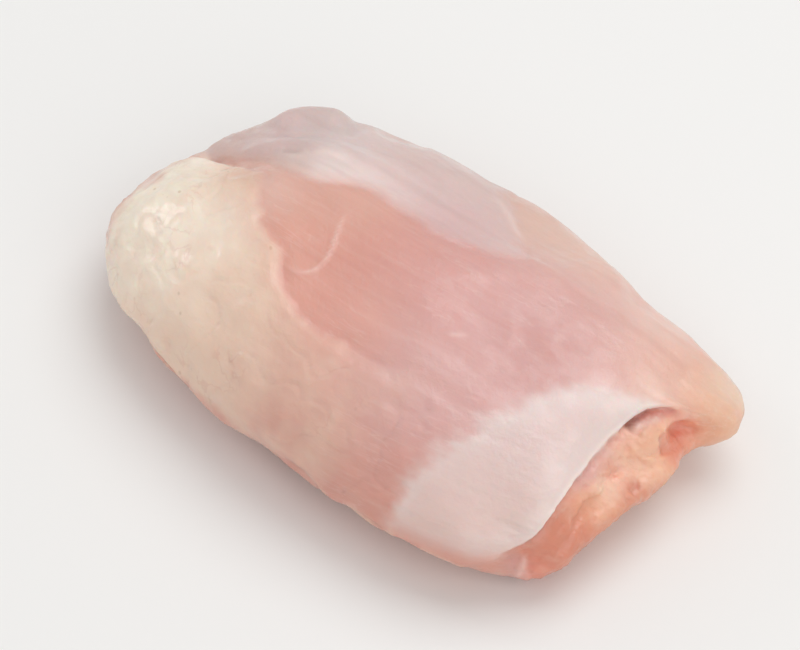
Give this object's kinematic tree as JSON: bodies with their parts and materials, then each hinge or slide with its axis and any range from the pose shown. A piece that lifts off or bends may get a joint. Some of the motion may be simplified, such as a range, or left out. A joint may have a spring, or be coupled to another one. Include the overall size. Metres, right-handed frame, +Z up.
{
  "type": "raw chicken thigh",
  "caption": "Boned and skinned raw chicken thigh, folded under itself, smooth side up, with a silvery muscle, a fat layer and an open cut end.",
  "frame": {"origin": "bottom centre of the thigh's box, on the surface that it lies on", "axes": "+X along the thigh towards its open folded end, +Y towards its silvery side, +Z up through its smooth side"},
  "size_m": [0.1014, 0.0616, 0.0278],
  "materials": {
    "raw_flesh": "moist satin, pale pink with silvery and creamy patches"
  },
  "bodies": {
    "root": {"thigh": "raw_flesh"}
  },
  "joints": []
}
